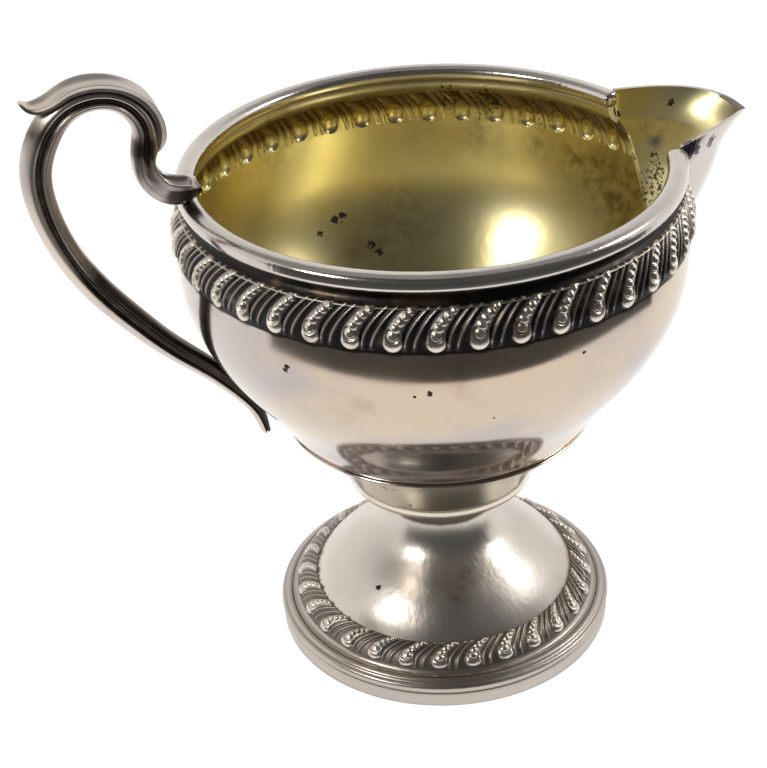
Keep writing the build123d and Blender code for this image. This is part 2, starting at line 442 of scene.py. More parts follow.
def noise(tree, scale, detail, stretch=None):
    """A noise texture in the object's own coordinates. Its scale is in waves per metre."""
    place = tree.nodes.new("ShaderNodeTexCoord")
    node = tree.nodes.new("ShaderNodeTexNoise")
    node.inputs["Scale"].default_value = scale
    node.inputs["Detail"].default_value = detail
    source = place.outputs["Object"]
    if stretch:
        mapping = tree.nodes.new("ShaderNodeMapping")
        mapping.inputs["Scale"].default_value = stretch
        tree.links.new(source, mapping.inputs["Vector"])
        source = mapping.outputs["Vector"]
    tree.links.new(source, node.inputs["Vector"])
    return node.outputs["Fac"]


def ramp(tree, value, low, high, low_out=0.0, high_out=1.0):
    """Value mapped smoothly from the range low to high onto another range."""
    node = tree.nodes.new("ShaderNodeMapRange")
    node.interpolation_type = "SMOOTHSTEP"
    node.inputs["From Min"].default_value = low
    node.inputs["From Max"].default_value = high
    node.inputs["To Min"].default_value = low_out
    node.inputs["To Max"].default_value = high_out
    tree.links.new(value, node.inputs["Value"])
    return node.outputs["Result"]


def arithmetic(tree, operation, a, b):
    """One sum or product. Each input is a number or the output of another node."""
    node = tree.nodes.new("ShaderNodeMath")
    node.operation = operation
    for i, value in enumerate((a, b)):
        if isinstance(value, (int, float)):
            node.inputs[i].default_value = value
        else:
            tree.links.new(value, node.inputs[i])
    return node.outputs["Value"]


def tint(tree, share, first, second):
    """A colour between two others. Either may be the output of another node."""
    node = tree.nodes.new("ShaderNodeMix")
    node.data_type = "RGBA"
    tree.links.new(share, node.inputs["Factor"])
    for name, value in (("A", first), ("B", second)):
        socket = [s for s in node.inputs if s.name == name and s.type == "RGBA"][0]
        if isinstance(value, tuple):
            socket.default_value = (*value, 1.0)
        else:
            tree.links.new(value, socket)
    return [s for s in node.outputs if s.type == "RGBA"][0]


def spots(tree, scale, size, share):
    """Scattered small marks, 1 inside a mark. share is how few of the cells have one, 0 to 1."""
    place = tree.nodes.new("ShaderNodeTexCoord")
    cells = tree.nodes.new("ShaderNodeTexVoronoi")
    cells.inputs["Scale"].default_value = scale
    tree.links.new(place.outputs["Object"], cells.inputs["Vector"])
    ragged = arithmetic(tree, "MULTIPLY", noise(tree, scale * 14, 3.0), size * 2)
    distance = arithmetic(tree, "ADD", cells.outputs["Distance"], ragged)
    mark = ramp(tree, distance, size * 1.8, size * 2.2, 1.0, 0.0)
    pick = tree.nodes.new("ShaderNodeSeparateColor")
    tree.links.new(cells.outputs["Color"], pick.inputs["Color"])
    chosen = ramp(tree, pick.outputs["Red"], share, share + 0.01)
    return arithmetic(tree, "MULTIPLY", mark, chosen)


def nearness(tree, place, inner, outer, full):
    """full within the inner radius of a place, falling smoothly to 0 at the outer one, in millimetres."""
    here = tree.nodes.new("ShaderNodeTexCoord")
    gap = tree.nodes.new("ShaderNodeVectorMath")
    gap.operation = "DISTANCE"
    gap.inputs[1].default_value = tuple(length * MM for length in place)
    tree.links.new(here.outputs["Object"], gap.inputs[0])
    return ramp(tree, gap.outputs["Value"], inner * MM, outer * MM, full, 0.0)


def blots(tree, places):
    """Ragged marks, 1 inside. Each is (x, y, z, radius, how solid), in millimetres."""
    grain = arithmetic(tree, "MULTIPLY", noise(tree, 1500, 5.0), 1.8)
    total = None
    for x, y, z, radius, solid in places:
        near = nearness(tree, (x, y, z), 0.1 * radius, 1.9 * radius, solid)
        mark = ramp(tree, arithmetic(tree, "ADD", near, grain), 1.30, 1.55)
        total = mark if total is None else arithmetic(tree, "MAXIMUM", total, mark)
    return total


def relief_of(tree):
    """How bright a place is: by its height in the pattern, 0 in a recess, and low where shade is painted."""
    node = tree.nodes.new("ShaderNodeAttribute")
    node.attribute_name = "relief"
    return node.outputs["Fac"]


def bump(tree, shader, value, distance):
    """Bends the shading by a value. The distance is in metres."""
    node = tree.nodes.new("ShaderNodeBump")
    node.inputs["Distance"].default_value = distance
    tree.links.new(value, node.inputs["Height"])
    tree.links.new(node.outputs["Normal"], shader.inputs["Normal"])


SILVER_WARM = (0.62, 0.50, 0.385)
SILVER_GREY = (0.60, 0.54, 0.49)
SILVER_WORN = (0.68, 0.62, 0.56)
SILVER_DULL = (0.50, 0.44, 0.385)
SILVER_FOOT = (0.66, 0.60, 0.53)
SILVER_CUP = (0.74, 0.66, 0.54)
SILVER_HANDLE = (0.68, 0.59, 0.50)
SILVER_LILAC = (0.46, 0.415, 0.41)
SILVER_BROWN = (0.36, 0.27, 0.20)
SILVER_RED = (0.50, 0.28, 0.20)
# Dark colour where the relief attribute is low: tarnish in hollows, and painted shade on the stem under the
# cup and on the handle under its tongue and the leaf's tip
TARNISH_AND_SHADE = (0.090, 0.075, 0.066)
BLACK_MARK = (0.030, 0.027, 0.030)
SPOUT_STAIN = (0.10, 0.085, 0.10)
COLLAR_BLACK = (0.028, 0.025, 0.024)
COLLAR_BROWN = (0.17, 0.11, 0.07)
# Recesses and raised parts of the two stamped borders
BOWL_RECESS = (0.045, 0.040, 0.040)
BOWL_RAISED = (0.74, 0.66, 0.57)
FOOT_RECESS = (0.20, 0.17, 0.145)
FOOT_RAISED = (0.70, 0.63, 0.56)
GILT = (0.80, 0.69, 0.34)
GILT_PALE = (0.80, 0.74, 0.46)
GILT_BROWN = (0.24, 0.16, 0.07)
GILT_GREY = (0.26, 0.23, 0.24)
GILT_WORN = (0.68, 0.62, 0.47)
GILT_RUBBED = (0.74, 0.70, 0.62)
GILT_MARK = (0.085, 0.07, 0.05)

# Roughness. No material's range crosses 0.274: faint wavy lines showed on the gold wash and on the foot's
# dome while theirs did.
SATIN_ROUGH = 0.28
DULL_ROUGH = 0.42
SILVER_HAZE = 1.7  # how many times rougher the hazy patches are
GILT_HAZE = 1.4

# Marks on the jug: (x, y, z, radius, how solid)
BOWL_MARKS = [
    (-36.0, -29.9, 81.5, 0.55, 1.0),
    (-36.3, -29.6, 80.6, 0.50, 1.0),
    (-15.6, -43.9, 79.6, 0.50, 1.0),
    (-17.9, -42.9, 79.0, 0.30, 1.0),
    (-4.8, -44.6, 72.8, 0.25, 1.0),
    (10.9, -45.6, 82.6, 0.40, 0.9),
]
CUP_MARKS = [
    (-17.1, -19.1, 44.8, 1.0, 0.7),
    (-15.9, -19.9, 44.4, 0.8, 0.7),
    (-11.7, -16.6, 37.7, 0.6, 0.8),
]
SPOUT_STAINS = [
    (44.3, -14.0, 100.0, 2.0, 0.9),
    (46.2, -13.2, 99.0, 1.1, 0.8),
    (50.0, -11.2, 99.4, 1.3, 0.75),
]
FOOT_MARKS = [(-17.1, -10.9, 15.4, 0.55, 1.0)]
FOOT_REDS = [
    (-0.4, -17.0, 18.6, 2.2, 0.8),
    (-1.4, -18.0, 17.9, 2.4, 0.9),
    (-2.5, -18.9, 17.0, 2.6, 0.9),
    (-3.6, -19.6, 16.2, 2.4, 0.8),
]
GILT_MARKS = [
    (-7.5, 41.8, 70.0, 0.9, 0.85),
    (-5.6, 42.1, 70.6, 0.9, 0.80),
    (-6.4, 42.2, 69.0, 0.7, 0.7),
    (-11.3, 40.1, 68.5, 0.8, 0.65),
    (-10.2, 40.0, 67.0, 0.5, 0.9),
    (-0.7, 38.9, 64.2, 1.2, 0.6),
    (0.8, 38.2, 63.0, 1.2, 0.6),
    (25.4, 38.3, 93.2, 4.5, 0.55),
    (18.0, 41.5, 93.8, 4.0, 0.52),
    (33.7, 31.2, 92.0, 4.0, 0.45),
    (42.6, 13.7, 96.1, 0.75, 0.9),
    (51.6, 9.1, 98.6, 0.8, 0.8),
    (48.4, 8.2, 88.6, 2.0, 0.45),
    (48.1, 7.6, 85.4, 3.0, 0.52),
    (47.0, 6.0, 82.5, 3.0, 0.50),
]
GILT_BROWNS = [
    (41.6, 19.0, 81.5, 8.0, 0.85),
    (43.6, 13.5, 79.0, 10.0, 0.9),
    (39.3, 23.7, 83.2, 6.0, 0.8),
    (33.0, 32.0, 84.8, 5.0, 0.6),
    (24.0, 39.5, 85.0, 5.0, 0.6),
    (6.0, 42.0, 67.0, 12.0, 0.35),
    (-20.0, 40.0, 92.0, 12.0, 0.4),
]
GILT_GREYS = [
    (47.6, 10.8, 94.4, 2.6, 1.0),
    (49.4, 9.9, 94.2, 2.4, 1.0),
    (48.7, 9.3, 91.4, 2.2, 1.0),
]


def clouds(tree, places):
    """Soft mottled patches, given like blots."""
    grain = ramp(tree, noise(tree, 420, 6.0), 0.36, 0.66)
    total = None
    for x, y, z, radius, solid in places:
        near = nearness(tree, (x, y, z), 0.0, 1.2 * radius, solid)
        total = near if total is None else arithmetic(tree, "MAXIMUM", total, near)
    return arithmetic(tree, "MULTIPLY", total, grain)


def silver(name, base, rough, patches, scratches, marks=(), reds=()):
    """Silver with thin coloured tarnish, small dark marks and fine scratches. marks holds (colour, places),
    and reds the places of a soft reddish stain."""
    material, tree, shader = new_material(name)
    cloud = ramp(tree, noise(tree, 34, 4.0), 0.42, 0.62, 0.0, patches)
    colour = tint(tree, cloud, base, SILVER_LILAC)
    bloom = ramp(tree, noise(tree, 19, 2.0), 0.48, 0.68, 0.0, patches * 0.8)
    colour = tint(tree, bloom, colour, SILVER_GREY)
    stain = ramp(tree, noise(tree, 75, 3.0), 0.54, 0.80, 0.0, patches * 0.8)
    colour = tint(tree, stain, colour, SILVER_BROWN)
    colour = tint(tree, spots(tree, 110, 0.05, 0.95), colour, BLACK_MARK)
    if reds:
        colour = tint(tree, clouds(tree, reds), colour, SILVER_RED)
    for mark_colour, places in marks:
        colour = tint(tree, blots(tree, places), colour, mark_colour)
    # Darker towards the tarnish colour where the relief attribute is low: tarnish in hollows, and painted
    # shade under the cup, the handle's tongue and the leaf's tip.
    grain = arithmetic(tree, "MULTIPLY", noise(tree, 500, 4.0), 0.5)
    grime_and_shade = arithmetic(tree, "ADD", relief_of(tree), grain)
    colour = tint(tree, ramp(tree, grime_and_shade, 0.30, 1.0), TARNISH_AND_SHADE, colour)
    tree.links.new(colour, shader.inputs["Base Color"])
    haze = ramp(tree, noise(tree, 45, 2.0), 0.35, 0.75, rough, rough * SILVER_HAZE)
    tree.links.new(haze, shader.inputs["Roughness"])
    lines = noise(tree, 900, 2.0, stretch=(1.0, 1.0, 0.12))
    bump(tree, shader, lines, 0.00003 * scratches)
    return material


def stamped(name, recess, raised):
    """Stamped silver, dark in its recesses and bright on what a cloth reaches."""
    material, tree, shader = new_material(name)
    worn = ramp(tree, relief_of(tree), 0.15, 0.62)
    colour = tint(tree, worn, recess, raised)
    stain = ramp(tree, noise(tree, 300, 4.0), 0.52, 0.75, 0.0, 0.6)
    colour = tint(tree, stain, colour, SILVER_BROWN)
    tree.links.new(colour, shader.inputs["Base Color"])
    rough = ramp(tree, relief_of(tree), 0.1, 0.8, DULL_ROUGH, SATIN_ROUGH)
    tree.links.new(rough, shader.inputs["Roughness"])
    bump(tree, shader, noise(tree, 1800, 3.0), 0.00004)
    return material


def blackened(name):
    """Silver left almost black where a cloth never reaches, with brown patches."""
    material, tree, shader = new_material(name)
    cloud = ramp(tree, noise(tree, 120, 4.0), 0.50, 0.75)
    colour = tint(tree, cloud, COLLAR_BLACK, COLLAR_BROWN)
    tree.links.new(colour, shader.inputs["Base Color"])
    rough = ramp(tree, noise(tree, 300, 3.0), 0.3, 0.7, SATIN_ROUGH, DULL_ROUGH)
    tree.links.new(rough, shader.inputs["Roughness"])
    bump(tree, shader, noise(tree, 1500, 3.0), 0.00003)
    return material


def gilt(name, base, pale):
    """Gold wash, satin, darker and browner in patches, with dark marks."""
    material, tree, shader = new_material(name)
    cloud = ramp(tree, noise(tree, 24, 3.0), 0.40, 0.70, 0.0, 0.8)
    colour = tint(tree, cloud, base, pale)
    stain = ramp(tree, noise(tree, 45, 4.0), 0.52, 0.80, 0.0, 0.65)
    colour = tint(tree, stain, colour, GILT_BROWN)
    # Browner where the relief attribute is low: painted shade in the upper part of the hollows inside the
    # border.
    low = ramp(tree, relief_of(tree), 0.15, 0.95, 1.0, 0.0)
    colour = tint(tree, low, colour, GILT_BROWN)
    colour = tint(tree, clouds(tree, GILT_BROWNS), colour, GILT_BROWN)
    colour = tint(tree, clouds(tree, GILT_GREYS), colour, GILT_GREY)
    colour = tint(tree, blots(tree, GILT_MARKS), colour, GILT_MARK)
    tree.links.new(colour, shader.inputs["Base Color"])
    haze = ramp(tree, noise(tree, 45, 2.0), 0.35, 0.75, SATIN_ROUGH, SATIN_ROUGH * GILT_HAZE)
    tree.links.new(haze, shader.inputs["Roughness"])
    shader.inputs["Coat Weight"].default_value = 0.35
    shader.inputs["Coat Roughness"].default_value = 0.22
    bump(tree, shader, noise(tree, 700, 3.0, stretch=(1.0, 1.0, 0.25)), 0.00002)
    return material


POLISHED = silver(
    "polished_silver", SILVER_WARM, rough=0.09, patches=0.9, scratches=0.3, marks=[(BLACK_MARK, BOWL_MARKS)]
)
SPOUT_SILVER = silver(
    "spout_silver", SILVER_GREY, rough=0.10, patches=0.5, scratches=0.3, marks=[(SPOUT_STAIN, SPOUT_STAINS)]
)
RIM_SILVER = silver("rim_silver", SILVER_WORN, rough=0.155, patches=0.4, scratches=1.2)
SATIN = silver(
    "satin_silver",
    SILVER_FOOT,
    rough=SATIN_ROUGH,
    patches=0.4,
    scratches=1.5,
    marks=[(BLACK_MARK, FOOT_MARKS)],
    reds=FOOT_REDS,
)
CUP_SILVER = silver(
    "cup_silver", SILVER_CUP, rough=0.15, patches=0.5, scratches=0.3, marks=[(BLACK_MARK, CUP_MARKS)]
)
EDGE_SILVER = silver("edge_silver", SILVER_DULL, rough=SATIN_ROUGH, patches=0.5, scratches=1.0)
HANDLE_SILVER = silver("handle_silver", SILVER_HANDLE, rough=SATIN_ROUGH, patches=0.6, scratches=1.0)
BOWL_BORDER_SILVER = stamped("bowl_border_silver", BOWL_RECESS, BOWL_RAISED)
FOOT_BORDER_SILVER = stamped("foot_border_silver", FOOT_RECESS, FOOT_RAISED)
COLLAR_SILVER = blackened("collar_silver")
GILDED = gilt("gold_wash", GILT, GILT_PALE)
RUBBED_GILT = gilt("rubbed_gold_wash", GILT_WORN, GILT_RUBBED)


# ---------------------------------------------------------------- the pieces


def arc(centre, radii, first, last, count):
    """Points on an elliptical arc, by angles in degrees."""
    angles = np.radians(np.linspace(first, last, count))
    return np.stack([centre[0] + radii[0] * np.cos(angles), centre[1] + radii[1] * np.sin(angles)], axis=1)


def make_rim_wire():
    """Half-round wire round the mouth, with rounded ends at the spout."""
    section_steps = 40
    steps = 480
    end_steps = 9
    end_length = 0.9
    square_below = 0.70
    square_above = 0.88
    angles = np.arange(section_steps) * TURN / section_steps
    squareness = np.where(np.sin(angles) < 0, square_below, square_above)
    out = np.sign(np.cos(angles)) * np.abs(np.cos(angles)) ** squareness
    up = np.sign(np.sin(angles)) * np.abs(np.sin(angles)) ** squareness
    centre = np.array([RIM_CENTRE_RADIUS, RIM_CENTRE_HEIGHT])
    section = centre + np.stack([out * RIM_HALF_WIDTH, up * RIM_HALF_HEIGHT], axis=1)
    ends = end_length / RIM_CENTRE_RADIUS
    quarter = np.linspace(0, math.pi / 2, end_steps)
    rounding = np.sin(quarter) ** 0.8
    inward = RIM_GAP + ends * (1 - np.cos(quarter))
    middle = np.linspace(RIM_GAP + ends, TURN - RIM_GAP - ends, steps)
    angles = np.concatenate([inward[:-1], middle, TURN - inward[:-1][::-1]])
    size = np.concatenate([rounding[:-1], np.ones(steps), rounding[:-1][::-1]])
    rows = []
    for angle, share in zip(angles, size):
        radius, height = (centre + (section - centre) * share).T
        rows.append(np.stack([radius * math.cos(angle), radius * math.sin(angle), height], axis=1))
    maker = MeshMaker("rim")
    maker.add_grid(np.array(rows), wrap=True)
    return maker.build([RIM_SILVER], ["rim_wire"])


def make_collar():
    """The dark hollow between the rim wire and the border."""
    outer = smooth_line(COLLAR, 16)
    inner = offset_line(outer, SHEET)
    materials = [COLLAR_SILVER, RUBBED_GILT, RUBBED_GILT]
    return cut_shell("collar", outer, inner, materials, ["neck_collar"], AXIS_STEPS)


def make_border():
    """The bowl's gadroon border, with its pattern in reverse on the inside."""
    outer = smooth_line(BAND_GROUND, 84)
    inner = offset_line(outer, SHEET)
    inner[:, 1] = outer[:, 1]
    return cut_shell(
        "gadroon_border",
        outer,
        inner,
        [BOWL_BORDER_SILVER, GILDED, GILDED],
        ["gadroon_band"],
        BOWL_LOBES * 36,
        bowl_border,
        bowl_border_reverse,
        SHARP_STAMPED,
    )


def make_bowl():
    """Belly and tier of the bowl, gilt inside."""
    outer = np.concatenate([smooth_line(BELLY, 70)[:-1], smooth_line(TIER, 16)])
    inner = offset_line(outer, SHEET)
    inner[0, 1] = outer[0, 1]
    inner[-1, 1] = outer[-1, 1]
    materials = [POLISHED, GILDED, GILDED]
    steps = BOWL_LOBES * 12
    return cut_shell("bowl_body", outer, inner, materials, ["bowl"], steps, bowl_wall)


def make_cup():
    """Lower cup with its proud edge and the bowl's closed floor."""
    wall = smooth_line(CUP, 30)
    edge = arc((29.5, 49.0), (0.42, 0.3), 90, 0, 5)
    outside = np.concatenate([edge, wall[2:-1], smooth_line(CUP_FOOT, 22)])
    inner_wall = offset_line(wall, SHEET)[::-1]
    floor = np.array([(0.02, 33.4), (8.0, 33.4), (13.0, 33.7)])
    inside = np.concatenate([floor, inner_wall])
    bottom = np.array([(5.0, 32.4), (0.02, 32.4)])
    profile = np.concatenate([outside, bottom, inside])
    first_inside = len(outside) + len(bottom)
    kinds = [1 if i >= first_inside else 0 for i in range(len(profile))]
    return turned_piece("cup", profile, [CUP_SILVER, GILDED], ["lower_cup"], kinds)


def make_stem():
    """Trumpet stem and dome of the foot, with painted shade under the cup at the neck."""
    outer = smooth_line(STEM, 70)
    inner = offset_line(outer, SHEET)[::-1]
    profile = np.concatenate([outer, inner])

    def shade(height):
        return falling(height, NECK_SHADE, 1)

    return turned_piece("stem", profile, [SATIN], ["foot_stem"], shade=shade)


def foot_pattern(angles, share):
    """Pattern height of the foot's border. share runs from 0 at its outer edge to 1 at the dome."""
    fade = 0.06
    pattern = gadroon(angles, share, FOOT_LOBES, FOOT_LOBE_AZIMUTH, FOOT_LOBE_RADIUS, 0.0, 1.0, True)
    return pattern * rising(share, 0, fade) * falling(share, 1, fade)


def make_foot_border():
    """The foot's gadroon border."""
    rows = 56
    steps = FOOT_LOBES * 44
    relief = 0.75
    thickness = 0.9
    ground = smooth_line(FOOT_GROUND, rows)
    angles = np.arange(steps)[None, :] * TURN / steps + np.zeros((rows, 1))
    share = np.linspace(1, 0, rows)[:, None] + 0 * angles
    pattern = foot_pattern(angles, share)
    ahead = np.gradient(ground, axis=0)
    ahead /= np.linalg.norm(ahead, axis=1)[:, None]
    normal = np.stack([-ahead[:, 1], ahead[:, 0]], axis=1)
    radius = ground[:, 0][:, None] + relief * pattern * normal[:, 0][:, None]
    height = ground[:, 1][:, None] + relief * pattern * normal[:, 1][:, None]
    top = np.stack([radius * np.cos(angles), radius * np.sin(angles), height], axis=-1)
    under = swept(offset_line(ground, thickness), angles[0])
    maker = MeshMaker("foot_border")
    upper = maker.add_grid(top, 0, pattern, wrap=True)
    lower = maker.add_grid(under, 0, wrap=True)
    maker.add_faces(np.stack([upper[0], lower[0]]), 0, wrap=True)
    maker.add_faces(np.stack([upper[-1], lower[-1]]), 0, wrap=True)
    return maker.build([FOOT_BORDER_SILVER], ["foot_band"], SHARP_STAMPED)


def make_moulding():
    """Two-line moulding round the foot's edge."""
    hollow = smooth_line([(30.2, 6.3), (30.7, 5.75), (31.3, 5.65)], 8)
    inner_line = arc((31.95, 5.0), (0.62, 0.68), 150, 10, 10)
    outer_line = arc((33.0, 4.1), (0.67, 0.85), 95, -20, 12)
    seam = np.array([(33.35, 3.35), (33.3, 3.2), (32.4, 3.2)])
    under = np.array([(31.4, 4.2), (29.4, 5.2), (29.4, 6.2)])
    profile = np.concatenate([hollow, inner_line, outer_line, seam, under])
    return turned_piece("moulding", profile, [EDGE_SILVER], ["foot_moulding"])


def make_apron():
    """Plain upright ring at the bottom."""
    radius = APRON_HIGH.x
    height = APRON_HIGH.z
    outer = np.array([(radius - 0.15, height), (radius, height - 0.2), (radius, 0.2), (radius - 0.2, 0.0)])
    inner = np.array([(radius - SHEET, 0.0), (radius - SHEET, height)])
    profile = np.concatenate([outer, inner])
    return turned_piece("apron", profile, [EDGE_SILVER], ["foot_apron"])


def wall_radius(height):
    """Outside radius of the bowl's wall at a height."""
    belly = smooth_line(BELLY, 60)[::-1]
    border = smooth_line(BAND_GROUND, 30)[::-1]
    mouth = [(45.0, 99.0)]
    line = np.concatenate([belly, border[1:], mouth])
    return np.interp(height, line[:, 1], line[:, 0])


def spout_grid(inset):
    """Points of the spout's sheet, rows up from its point to its lip, columns from one side to the other."""
    rows = 90
    columns = 96
    lap = 0.8  # how far the sheet reaches past the cut in the bowl's wall
    sunk = 0.4  # how deep its sides lie in the wall
    up = np.linspace(0, 1, rows)[:, None]
    across = np.linspace(-1, 1, columns + 1)[None, :]
    side = np.abs(across)
    keel = smooth_line(SPOUT_KEEL, rows)
    keel_x = keel[:, 0][:, None] - 1.25 * inset
    keel_z = keel[:, 1][:, None]
    wall_z = SPOUT_POINT + (SPOUT_TOP - SPOUT_POINT) * up
    half = np.clip(between(wall_z, SPOUT_CUT), 0.02, None) + lap - inset
    wall_x = np.sqrt(wall_radius(wall_z) ** 2 - half**2) - sunk
    nose = 0.37 * side + 0.63 * side**2.6
    x = keel_x + (wall_x - keel_x) * nose
    y = half * across
    level = keel_z + (wall_z - keel_z) * side**1.2
    lip = 7.9 * side - 6.1 * side**2 - 1.8 * side**1.2
    z = level + lip * up**6
    return np.stack([x + 0 * y, y + 0 * x, z], axis=-1)


def make_spout():
    """Sheet spout with a rounded lip, gilt inside."""
    thickness = 0.9
    outer = spout_grid(0.0)
    inner = spout_grid(thickness)
    lip = (outer[-1:] + inner[-1:]) / 2
    maker = MeshMaker("spout_sheet")
    out = maker.add_grid(outer, 0)
    inside = maker.add_grid(inner, 1)
    top = maker.add_grid(lip, 0)
    maker.add_faces(np.concatenate([out[-1:], top]), 2)
    maker.add_faces(np.concatenate([top, inside[-1:]]), 2)
    maker.add_faces(np.stack([out[0], inside[0]]), 0)
    for column in (0, -1):
        maker.add_faces(np.stack([out[:, column], inside[:, column]]), 0)
    return maker.build([SPOUT_SILVER, GILDED, SPOUT_SILVER], ["spout"])


# Handle centre line from the tongue on the rim to the tail: (x, height, half thickness, half width)
HANDLE_LINE = [
    (-42.2, 103.2, 1.0, 2.5),
    (-45.6, 102.3, 2.1, 2.6),
    (-49.2, 103.9, 2.1, 2.6),
    (-50.9, 107.2, 2.2, 2.6),
    (-50.6, 111.4, 2.4, 2.6),
    (-50.2, 115.0, 2.3, 2.6),
    (-51.4, 118.3, 2.3, 2.6),
    (-54.6, 121.1, 2.2, 2.6),
    (-59.0, 121.9, 2.3, 2.6),
    (-63.4, 120.5, 2.5, 2.6),
    (-67.3, 116.2, 2.8, 2.6),
    (-69.4, 110.2, 2.68, 2.6),
    (-69.2, 104.0, 2.6, 2.6),
    (-67.1, 96.2, 2.5, 2.6),
    (-62.6, 87.2, 2.5, 2.6),
    (-56.4, 78.9, 2.4, 2.6),
    (-50.2, 71.9, 2.2, 2.6),
    (-43.6, 65.6, 1.9, 2.6),
    (-39.2, 60.5, 1.6, 2.5),
    (-35.9, 55.4, 1.3, 2.3),
    (-34.6, 50.8, 0.9, 2.0),
]
# Half of the handle's section, from the middle of its outer face round to the inner one: (out, sideways),
# as shares of the half thickness and the half width
HANDLE_SECTION = [
    (1.00, 0.00),
    (0.93, 0.25),
    (0.78, 0.52),
    (0.56, 0.80),
    (0.36, 0.96),
    (0.22, 0.97),
    (0.10, 0.86),
    (-0.04, 0.74),
    (-0.16, 0.74),
    (-0.28, 0.86),
    (-0.36, 0.97),
    (-0.43, 0.97),
    (-0.50, 0.87),
    (-0.58, 0.88),
    (-0.76, 0.76),
    (-0.92, 0.54),
    (-1.00, 0.26),
    (-1.00, 0.00),
]
# The same of the hollow tongue
TONGUE_SECTION = [
    (0.30, 0.00),
    (0.36, 0.35),
    (0.62, 0.66),
    (0.95, 0.84),
    (0.96, 0.96),
    (0.70, 0.98),
    (0.20, 0.90),
    (-0.40, 0.80),
    (-0.85, 0.62),
    (-1.00, 0.30),
    (-1.00, 0.00),
]


def section_ring(half_section, count):
    """A closed section from its half, mirrored."""
    half = smooth_line(half_section, count)
    other = half[1:-1][::-1] * np.array([1, -1])
    return np.concatenate([half, other])


def lofted(name, line, ring_at, relief_at, materials, nodes):
    """A solid of rings along a line of (x, height, half thickness, half width) in the plane y = 0. ring_at
    gives the ring at a share of the line, as (out, sideways), and relief_at how bright its silver is."""
    ahead = np.gradient(line[:, :2], axis=0)
    ahead /= np.linalg.norm(ahead, axis=1)[:, None]
    outward = np.stack([ahead[:, 1], -ahead[:, 0]], axis=1)
    rows = []
    shades = []
    for i, (x, height, half_thickness, half_width) in enumerate(line):
        share = i / (len(line) - 1)
        ring = ring_at(share) * np.array([half_thickness, half_width])
        out = ring[:, 0][:, None] * outward[i]
        rows.append(np.stack([x + out[:, 0], ring[:, 1], height + out[:, 1]], axis=1))
        shades.append(relief_at(share))
    for end in (0, -1):
        middle = np.repeat(rows[end].mean(axis=0)[None, :], len(rows[end]), axis=0)
        rows.insert(0 if end == 0 else len(rows), middle)
        shades.insert(0 if end == 0 else len(shades), shades[end])
    maker = MeshMaker(name)
    maker.add_grid(np.array(rows), 0, np.array(shades), wrap=True)
    return maker.build(materials, nodes, SHARP_LOFTED)


def make_handle():
    """Scroll handle with two ridges and a dark hollow along each side, and a hollow tongue over the rim."""
    line = smooth_line(HANDLE_LINE, 260)
    plain = section_ring(HANDLE_SECTION, 60)
    tongue = section_ring(TONGUE_SECTION, 60)

    def ring_at(share):
        hollow = falling(share, 0.13, 0.05) * rising(share, 0.006, 0.006)
        return tongue * hollow + plain * (1 - hollow)

    def relief_at(share):
        """Dark in the hollow along each side, in the groove, on the lower half's inner face and at the neck
        above the tongue; painted shade under the leaf's tip and round the solder under the tongue on the
        rim."""
        out = plain[:, 0]
        cove = 0.9 * falling(out, 0.16, 0.12) * rising(out, -0.32, 0.10) * rising(share, 0.085, 0.03)
        groove = ridge(out + 0.53, 0.05, 0.7)
        lower = 0.9 * rising(share, 0.52, 0.08) * falling(out, 0.34, 0.15)
        neck = ridge(share - 0.135, 0.022, 1.0) * falling(out, 0.7, 0.2)
        # tip and solder are painted shade: under the leaf's tip, and under the tongue where it rests on the
        # rim
        tip = ridge(share - 0.35, 0.03, 0.75) * rising(out, -0.6, 0.3)
        solder = falling(share, 0.065, 0.02) * falling(out, 0.2, 0.3)
        return 1 - np.clip(np.maximum.reduce([cove, groove, lower, neck, tip, solder]), 0, 1)

    return lofted("handle_scroll", line, ring_at, relief_at, [HANDLE_SILVER], ["handle"])


# Leaf over the handle, from above the tongue to its free tip: (x, height, half thickness, half width)
LEAF_LINE = [
    (-48.7, 110.4, 0.25, 0.4),
    (-48.0, 112.2, 0.7, 1.3),
    (-47.9, 115.4, 0.9, 2.1),
    (-49.4, 119.4, 0.9, 2.7),
    (-52.9, 122.6, 0.8, 2.9),
    (-57.3, 124.0, 0.8, 2.9),
    (-62.3, 123.5, 0.8, 2.9),
    (-66.6, 121.6, 0.7, 2.6),
    (-68.9, 121.6, 0.5, 1.9),
    (-70.3, 122.8, 0.2, 0.7),
]
# Half of the leaf's section: a trough with raised edges
LEAF_SECTION = [
    (0.10, 0.00),
    (0.18, 0.30),
    (0.48, 0.62),
    (0.92, 0.88),
    (0.98, 0.97),
    (0.70, 1.00),
    (0.10, 0.95),
    (-0.60, 0.88),
    (-1.00, 0.70),
    (-1.00, 0.00),
]


def make_leaf():
    """Leaf over the top of the handle, ending in a free curled tip."""
    line = smooth_line(LEAF_LINE, 110)
    shape = section_ring(LEAF_SECTION, 40)

    out, sideways = shape.T
    middle = np.where(np.abs(sideways) < 0.9, 1, 0)
    relief = np.clip((out + 0.1) / 0.5 + middle, 0, 1)

    def ring_at(share):
        return shape

    def relief_at(share):
        return relief

    return lofted("leaf", line, ring_at, relief_at, [HANDLE_SILVER], ["leaf_cap"])


make_rim_wire()
make_collar()
make_border()
make_bowl()
make_cup()
make_stem()
make_foot_border()
make_moulding()
make_apron()
make_spout()
make_handle()
make_leaf()


# ---------------------------------------------------------------- stage, light and camera


CAMERA_AZIMUTH = math.radians(-108)  # from the jug's axis, with +X as zero
# Place and lens of the camera, in millimetres
CAMERA_PLACE = (-89.9, -276.8, 233.18)
CAMERA_YAW = math.radians(15.935)
CAMERA_PITCH = math.radians(31.7515)
CAMERA_ROLL = math.radians(-3.0035)
LENS = 82.9
SENSOR = 36.0

